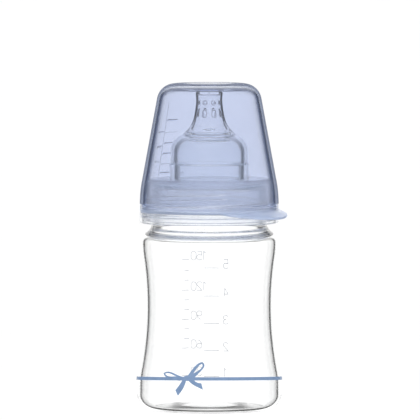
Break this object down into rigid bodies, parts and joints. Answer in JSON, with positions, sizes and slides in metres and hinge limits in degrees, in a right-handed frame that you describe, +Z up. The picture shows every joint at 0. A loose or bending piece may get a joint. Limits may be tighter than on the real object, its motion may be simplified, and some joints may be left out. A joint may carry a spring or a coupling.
{
  "type": "baby bottle",
  "caption": "Wide-neck glass baby bottle with a waisted body, screw ring, one-piece silicone teat and push-on see-through cap with a thumb tab.",
  "frame": {"origin": "centre of the base on the bottle's axis, in the plane it stands on", "axes": "+Z up along the bottle's axis; the front with the printed bow faces -Y, and the measuring scale is on the back at +Y"},
  "size_m": [0.0679, 0.0656, 0.1476],
  "materials": {
    "glass": "clear polished soda-lime or borosilicate glass",
    "enamel_blue": "fired blue enamel, satin",
    "enamel_grey": "fired pale grey enamel, satin",
    "silicone": "clear silicone, slightly milky",
    "ring_plastic": "clear polypropylene, glossy",
    "cap_plastic": "see-through pale blue plastic, glossy"
  },
  "bodies": {
    "bottle": {"glass_bottle": "glass", "ribbon_print": "enamel_blue", "scale_print": "enamel_grey"},
    "teat": {"teat": "silicone"},
    "ring": {"screw_ring": "ring_plastic"},
    "cap": {"cap": "cap_plastic"}
  },
  "joints": [
    {"name": "teat_rise", "type": "slide", "parent": "bottle", "child": "teat", "axis": [0, 0, 1], "range_m": [0, 0.0063]},
    {"name": "ring_turn", "type": "hinge", "parent": "teat", "child": "ring", "pos_m": [0, 0, 0.0943], "axis": [0, 0, 1], "range_deg": [0, 450]},
    {"name": "cap_lift", "type": "slide", "parent": "ring", "child": "cap", "axis": [0, 0, 1], "range_m": [0, 0.065]}
  ],
  "couplings": [
    {"joint": "teat_rise", "follows": "ring_turn", "m_per_rad": 0.00079577}
  ]
}
